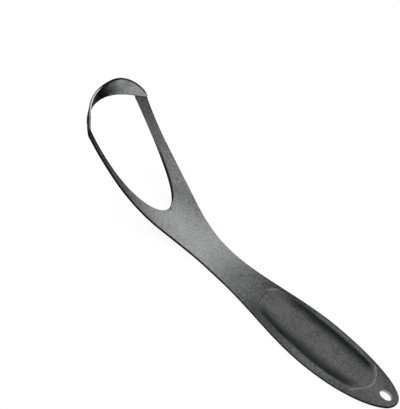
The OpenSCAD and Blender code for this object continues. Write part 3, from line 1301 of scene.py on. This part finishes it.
@dataclass(frozen=True)
class SatinSteel:
    """Stainless sheet, glass-bead blasted after pressing, with painted light and shade on it.

    The blasting leaves a fine mottled grain with a soft, broad shine. The neck, the arms and the
    band are painted a lighter tone as a highlight, and a few rims and lines carry brighter painted
    highlights. The sheared edges and the hollow places are painted dark as shade.
    """

    name: str = "steel_bead_blasted_satin"
    face: str = "#5a5b5a"
    grain_low: str = "#393939"
    cloud: str = "#545454"
    # Colours of painted light and shade. The lighter tone and its grain are a painted highlight, the
    # brightest face is a painted highlight, and the two darkest faces are painted shade on edges and
    # in hollows.
    worn_face: str = "#8a8c8b"
    light_tone_low: str = "#626463"
    highlight_face: str = "#c4c6c5"
    edge_shade_face: str = "#181919"
    shade_face: str = "#262727"
    glancing: str = "#6c6c6c"
    roughness: float = 0.34
    rough_swing: float = 0.10
    # The grain is drawn coarser than a real bead-blasted face, whose dimples are about 0.1 mm
    # across, because a finer one doesn't show at the size of the photograph.
    grain: float = 0.95 * MM
    grain_detail: float = 3.0
    grain_roughness: float = 0.6
    grain_span: tuple[float, float] = (0.3, 0.7)
    cloud_size: float = 9.0 * MM
    cloud_detail: float = 2.0
    cloud_roughness: float = 0.5
    cloud_span: tuple[float, float] = (0.45, 0.9)
    fine_bump: float = 0.02 * MM

    def material(self) -> bpy.types.Material:
        """Make the procedural material.

        Returns:
            A metal with mottled grain, faint clouds, painted highlights, and painted shade in the
            hollows and on the cut edges.
        """
        made = bpy.data.materials.new(self.name)
        made.use_nodes = True
        tree = made.node_tree
        shader = tree.nodes["Principled BSDF"]
        place_in = add_node(tree, "ShaderNodeTexCoord").outputs["Object"]
        grain = self.noise(tree, place_in, self.grain, self.grain_detail, self.grain_roughness)
        cloud = self.noise(tree, place_in, self.cloud_size, self.cloud_detail, self.cloud_roughness)
        mottled = self.mix(tree, grain, linear(self.grain_low), linear(self.face), self.grain_span)
        colour = self.mix(tree, cloud, mottled, linear(self.cloud), self.cloud_span)
        light_tone = self.mix(tree, grain, linear(self.light_tone_low), linear(self.worn_face), self.grain_span)
        # Painted light and shade laid over the steel's own colour, zone by zone.
        layers = {
            Zone.WORN: light_tone,
            Zone.BARE: linear(self.highlight_face),
            Zone.RECESS: linear(self.shade_face),
            Zone.CUT: linear(self.edge_shade_face),
        }
        for zone, layer in layers.items():
            colour = self.mix(tree, self.zone(tree, zone), colour, layer)
        tree.links.new(colour, shader.inputs["Base Color"])
        shader.inputs["Metallic"].default_value = 1.0
        shader.inputs["Specular Tint"].default_value = linear(self.glancing)
        rough = add_node(tree, "ShaderNodeMapRange", {
            "Value": grain, "From Min": self.grain_span[0], "From Max": self.grain_span[1],
            "To Min": self.roughness - self.rough_swing / 2,
            "To Max": self.roughness + self.rough_swing / 2,
        })
        tree.links.new(rough.outputs["Result"], shader.inputs["Roughness"])
        bump = add_node(tree, "ShaderNodeBump", {
            "Height": grain, "Strength": 1.0, "Distance": self.fine_bump,
        })
        tree.links.new(bump.outputs["Normal"], shader.inputs["Normal"])
        return made

    def noise(
        self, tree: bpy.types.NodeTree, where: bpy.types.NodeSocket, size: float, detail: float,
        roughness: float,
    ) -> bpy.types.NodeSocket:
        """Add a noise whose blobs are about one size across.

        Args:
            tree: The node tree.
            where: Coordinates in metres.
            size: Size of a blob in metres.
            detail: Octaves of finer noise.
            roughness: Strength of the finer octaves.

        Returns:
            The noise, about 0.5 on average.
        """
        return add_node(tree, "ShaderNodeTexNoise", {
            "Vector": where, "Scale": 1 / size, "Detail": detail, "Roughness": roughness,
        }).outputs["Fac"]

    def zone(self, tree: bpy.types.NodeTree, zone: Zone) -> bpy.types.NodeSocket:
        """Read a zone's strength from the piece's own attribute."""
        return add_node(tree, "ShaderNodeAttribute", attribute_name=zone.value).outputs["Fac"]

    def mix(
        self, tree: bpy.types.NodeTree, by: bpy.types.NodeSocket, low: object, high: object,
        span: tuple[float, float] = (0.0, 1.0),
    ) -> bpy.types.NodeSocket:
        """Blend two colours as a value runs over a span.

        Args:
            tree: The node tree.
            by: The value that decides.
            low: Colour, or socket, up to the span's start.
            high: Colour, or socket, from the span's end on.
            span: Values at which the blend starts and ends.

        Returns:
            The blended colour.
        """
        share = add_node(tree, "ShaderNodeMapRange", {
            "Value": by, "From Min": span[0], "From Max": span[1],
        })
        blend = add_node(tree, "ShaderNodeMix", {
            MixSocket.SHARE.value: share.outputs["Result"], MixSocket.LOW.value: low,
            MixSocket.HIGH.value: high,
        }, data_type="RGBA")
        return blend.outputs[MixSocket.RESULT.value]


@dataclass(frozen=True)
class Panel:
    """A soft light that faces the tool: where it hangs, how large it is and how bright.

    Its direction and its distance are seen from the frame's origin. A glow of 1 is white.
    """

    name: str
    towards: tuple[float, float, float]
    distance: float
    size: tuple[float, float]
    glow: float

    def hang(self) -> None:
        """Add the light to the scene."""
        light = bpy.data.lights.new(self.name, "AREA")
        light.shape = "RECTANGLE"
        light.size, light.size_y = self.size
        light.energy = self.glow * math.pi * self.size[0] * self.size[1]
        panel = bpy.data.objects.new(self.name, light)
        bpy.context.scene.collection.objects.link(panel)
        direction = Vector(self.towards).normalized()
        panel.location = direction * self.distance
        panel.rotation_mode = "QUATERNION"
        panel.rotation_quaternion = direction.to_track_quat("Z", "Y")


@dataclass
class Studio:
    """Pale floor, soft lights and the camera."""

    floor_size: float = 6.0
    floor_colour: str = "#f6f6f6"
    floor_roughness: float = 0.9
    white_share: float = 0.92
    world_colour: str = "#ffffff"
    world_strength: float = 0.5
    eye: tuple[float, float, float] = (-152.0 * MM, 919.2 * MM, 620.0 * MM)
    target: tuple[float, float, float] = (23.3 * MM, -4.9 * MM, 10.0 * MM)
    roll: float = math.radians(34.2)
    lens: float = 288.0
    sensor: float = 36.0
    panels: tuple[Panel, ...] = (
        Panel("neck_panel", (0.06, -0.86, 0.50), 2.6, (0.60, 1.5), 2.5),
        Panel("low_panel", (0.0, -0.99, 0.13), 2.6, (1.4, 0.7), 1.85),
        Panel("side_panel", (0.60, -0.715, 0.37), 2.6, (0.9, 1.6), 2.6),
        Panel("top_panel", (0.44, -0.39, 0.81), 2.6, (1.3, 1.7), 2.1),
        Panel("head_panel", (0.80, 0.30, 0.52), 2.8, (1.6, 1.4), 1.6),
        Panel("tail_panel", (-0.84, 0.20, 0.50), 2.8, (1.6, 1.4), 1.6),
        Panel("arm_panel", (-0.36, -0.36, 0.86), 2.6, (1.6, 1.6), 0.8),
        Panel("end_panel", (-0.98, 0.0, 0.02), 2.6, (1.8, 0.5), 3.2),
        Panel("front_panel", (0.1, 0.72, 0.70), 2.8, (3.0, 2.0), 2.0),
    )

    def lay_floor(self) -> bpy.types.Object:
        """Lay the floor under the tool.

        Returns:
            The floor.
        """
        bpy.ops.object.select_all(action="DESELECT")
        bpy.ops.mesh.primitive_plane_add(size=self.floor_size)
        floor = bpy.context.object
        floor.name = "floor"
        # Matt coated paper: even and without shine, so only the tool's soft shadow marks it.
        paper = bpy.data.materials.new("paper_matt_white")
        paper.use_nodes = True
        tree = paper.node_tree
        shader = tree.nodes["Principled BSDF"]
        shader.inputs["Base Color"].default_value = linear(self.floor_colour)
        shader.inputs["Roughness"].default_value = self.floor_roughness
        shader.inputs["Specular IOR Level"].default_value = 0.0
        rays = add_node(tree, "ShaderNodeLightPath")
        seen = add_node(tree, "ShaderNodeMath", {
            0: rays.outputs["Is Camera Ray"], 1: rays.outputs["Is Glossy Ray"],
        }, operation="MAXIMUM").outputs[0]
        seen = add_node(tree, "ShaderNodeMath", {
            0: seen, 1: rays.outputs["Is Transmission Ray"],
        }, operation="MAXIMUM").outputs[0]
        share = add_node(tree, "ShaderNodeMath", {0: seen, 1: self.white_share}, operation="MULTIPLY")
        glow = add_node(tree, "ShaderNodeEmission", {"Color": linear("#ffffff"), "Strength": 1.0})
        blend = add_node(tree, "ShaderNodeMixShader", {
            0: share.outputs[0], 1: shader.outputs["BSDF"], 2: glow.outputs["Emission"],
        })
        output = tree.nodes["Material Output"]
        tree.links.new(blend.outputs["Shader"], output.inputs["Surface"])
        floor.data.materials.append(paper)
        return floor

    def light(self) -> None:
        """Set the world's even light and hang the panels."""
        world = bpy.data.worlds.new("even_studio_light")
        bpy.context.scene.world = world
        world.use_nodes = True
        background = world.node_tree.nodes["Background"]
        background.inputs["Color"].default_value = linear(self.world_colour)
        background.inputs["Strength"].default_value = self.world_strength
        for panel in self.panels:
            panel.hang()

    def aim_camera(self) -> None:
        """Set the camera at the photograph's viewing angle."""
        data = bpy.data.cameras.new("camera")
        data.lens, data.sensor_width, data.sensor_fit = self.lens, self.sensor, "HORIZONTAL"
        camera = bpy.data.objects.new("camera", data)
        bpy.context.scene.collection.objects.link(camera)
        camera.location = self.eye
        look = Vector(self.target) - Vector(self.eye)
        turn = Quaternion((0.0, 0.0, 1.0), self.roll)
        camera.rotation_mode = "QUATERNION"
        camera.rotation_quaternion = look.to_track_quat("-Z", "Y") @ turn
        bpy.context.scene.camera = camera

    def build(self) -> None:
        """Set up floor, light, camera and view."""
        self.lay_floor()
        self.light()
        self.aim_camera()
        bpy.context.scene.view_settings.view_transform = "Standard"


def hand_over(piece: bpy.types.Object, node: CadNode, steel: bpy.types.Material) -> None:
    """Dress a finished piece and let it stand for its CAD solid.

    Args:
        piece: The finished piece.
        node: The CAD solid.
        steel: Its material.
    """
    piece.data.materials.append(steel)
    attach(piece, "root")
    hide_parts(node.value)
    log.info("%s: %d faces", piece.name, len(piece.data.polygons))


def main() -> None:
    """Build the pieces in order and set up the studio."""
    logging.basicConfig(level=logging.INFO, format="%(name)s: %(message)s")
    form = PressForm()
    tail_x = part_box(CadNode.SHEET.value)[0].x
    steel = SatinSteel().material()
    hand_over(PressedSheet(form, tail_x).build(), CadNode.SHEET, steel)
    hand_over(ScrapingBand(form, tail_x).build(), CadNode.BAND, steel)
    Studio().build()


if __name__ == "__main__":
    main()
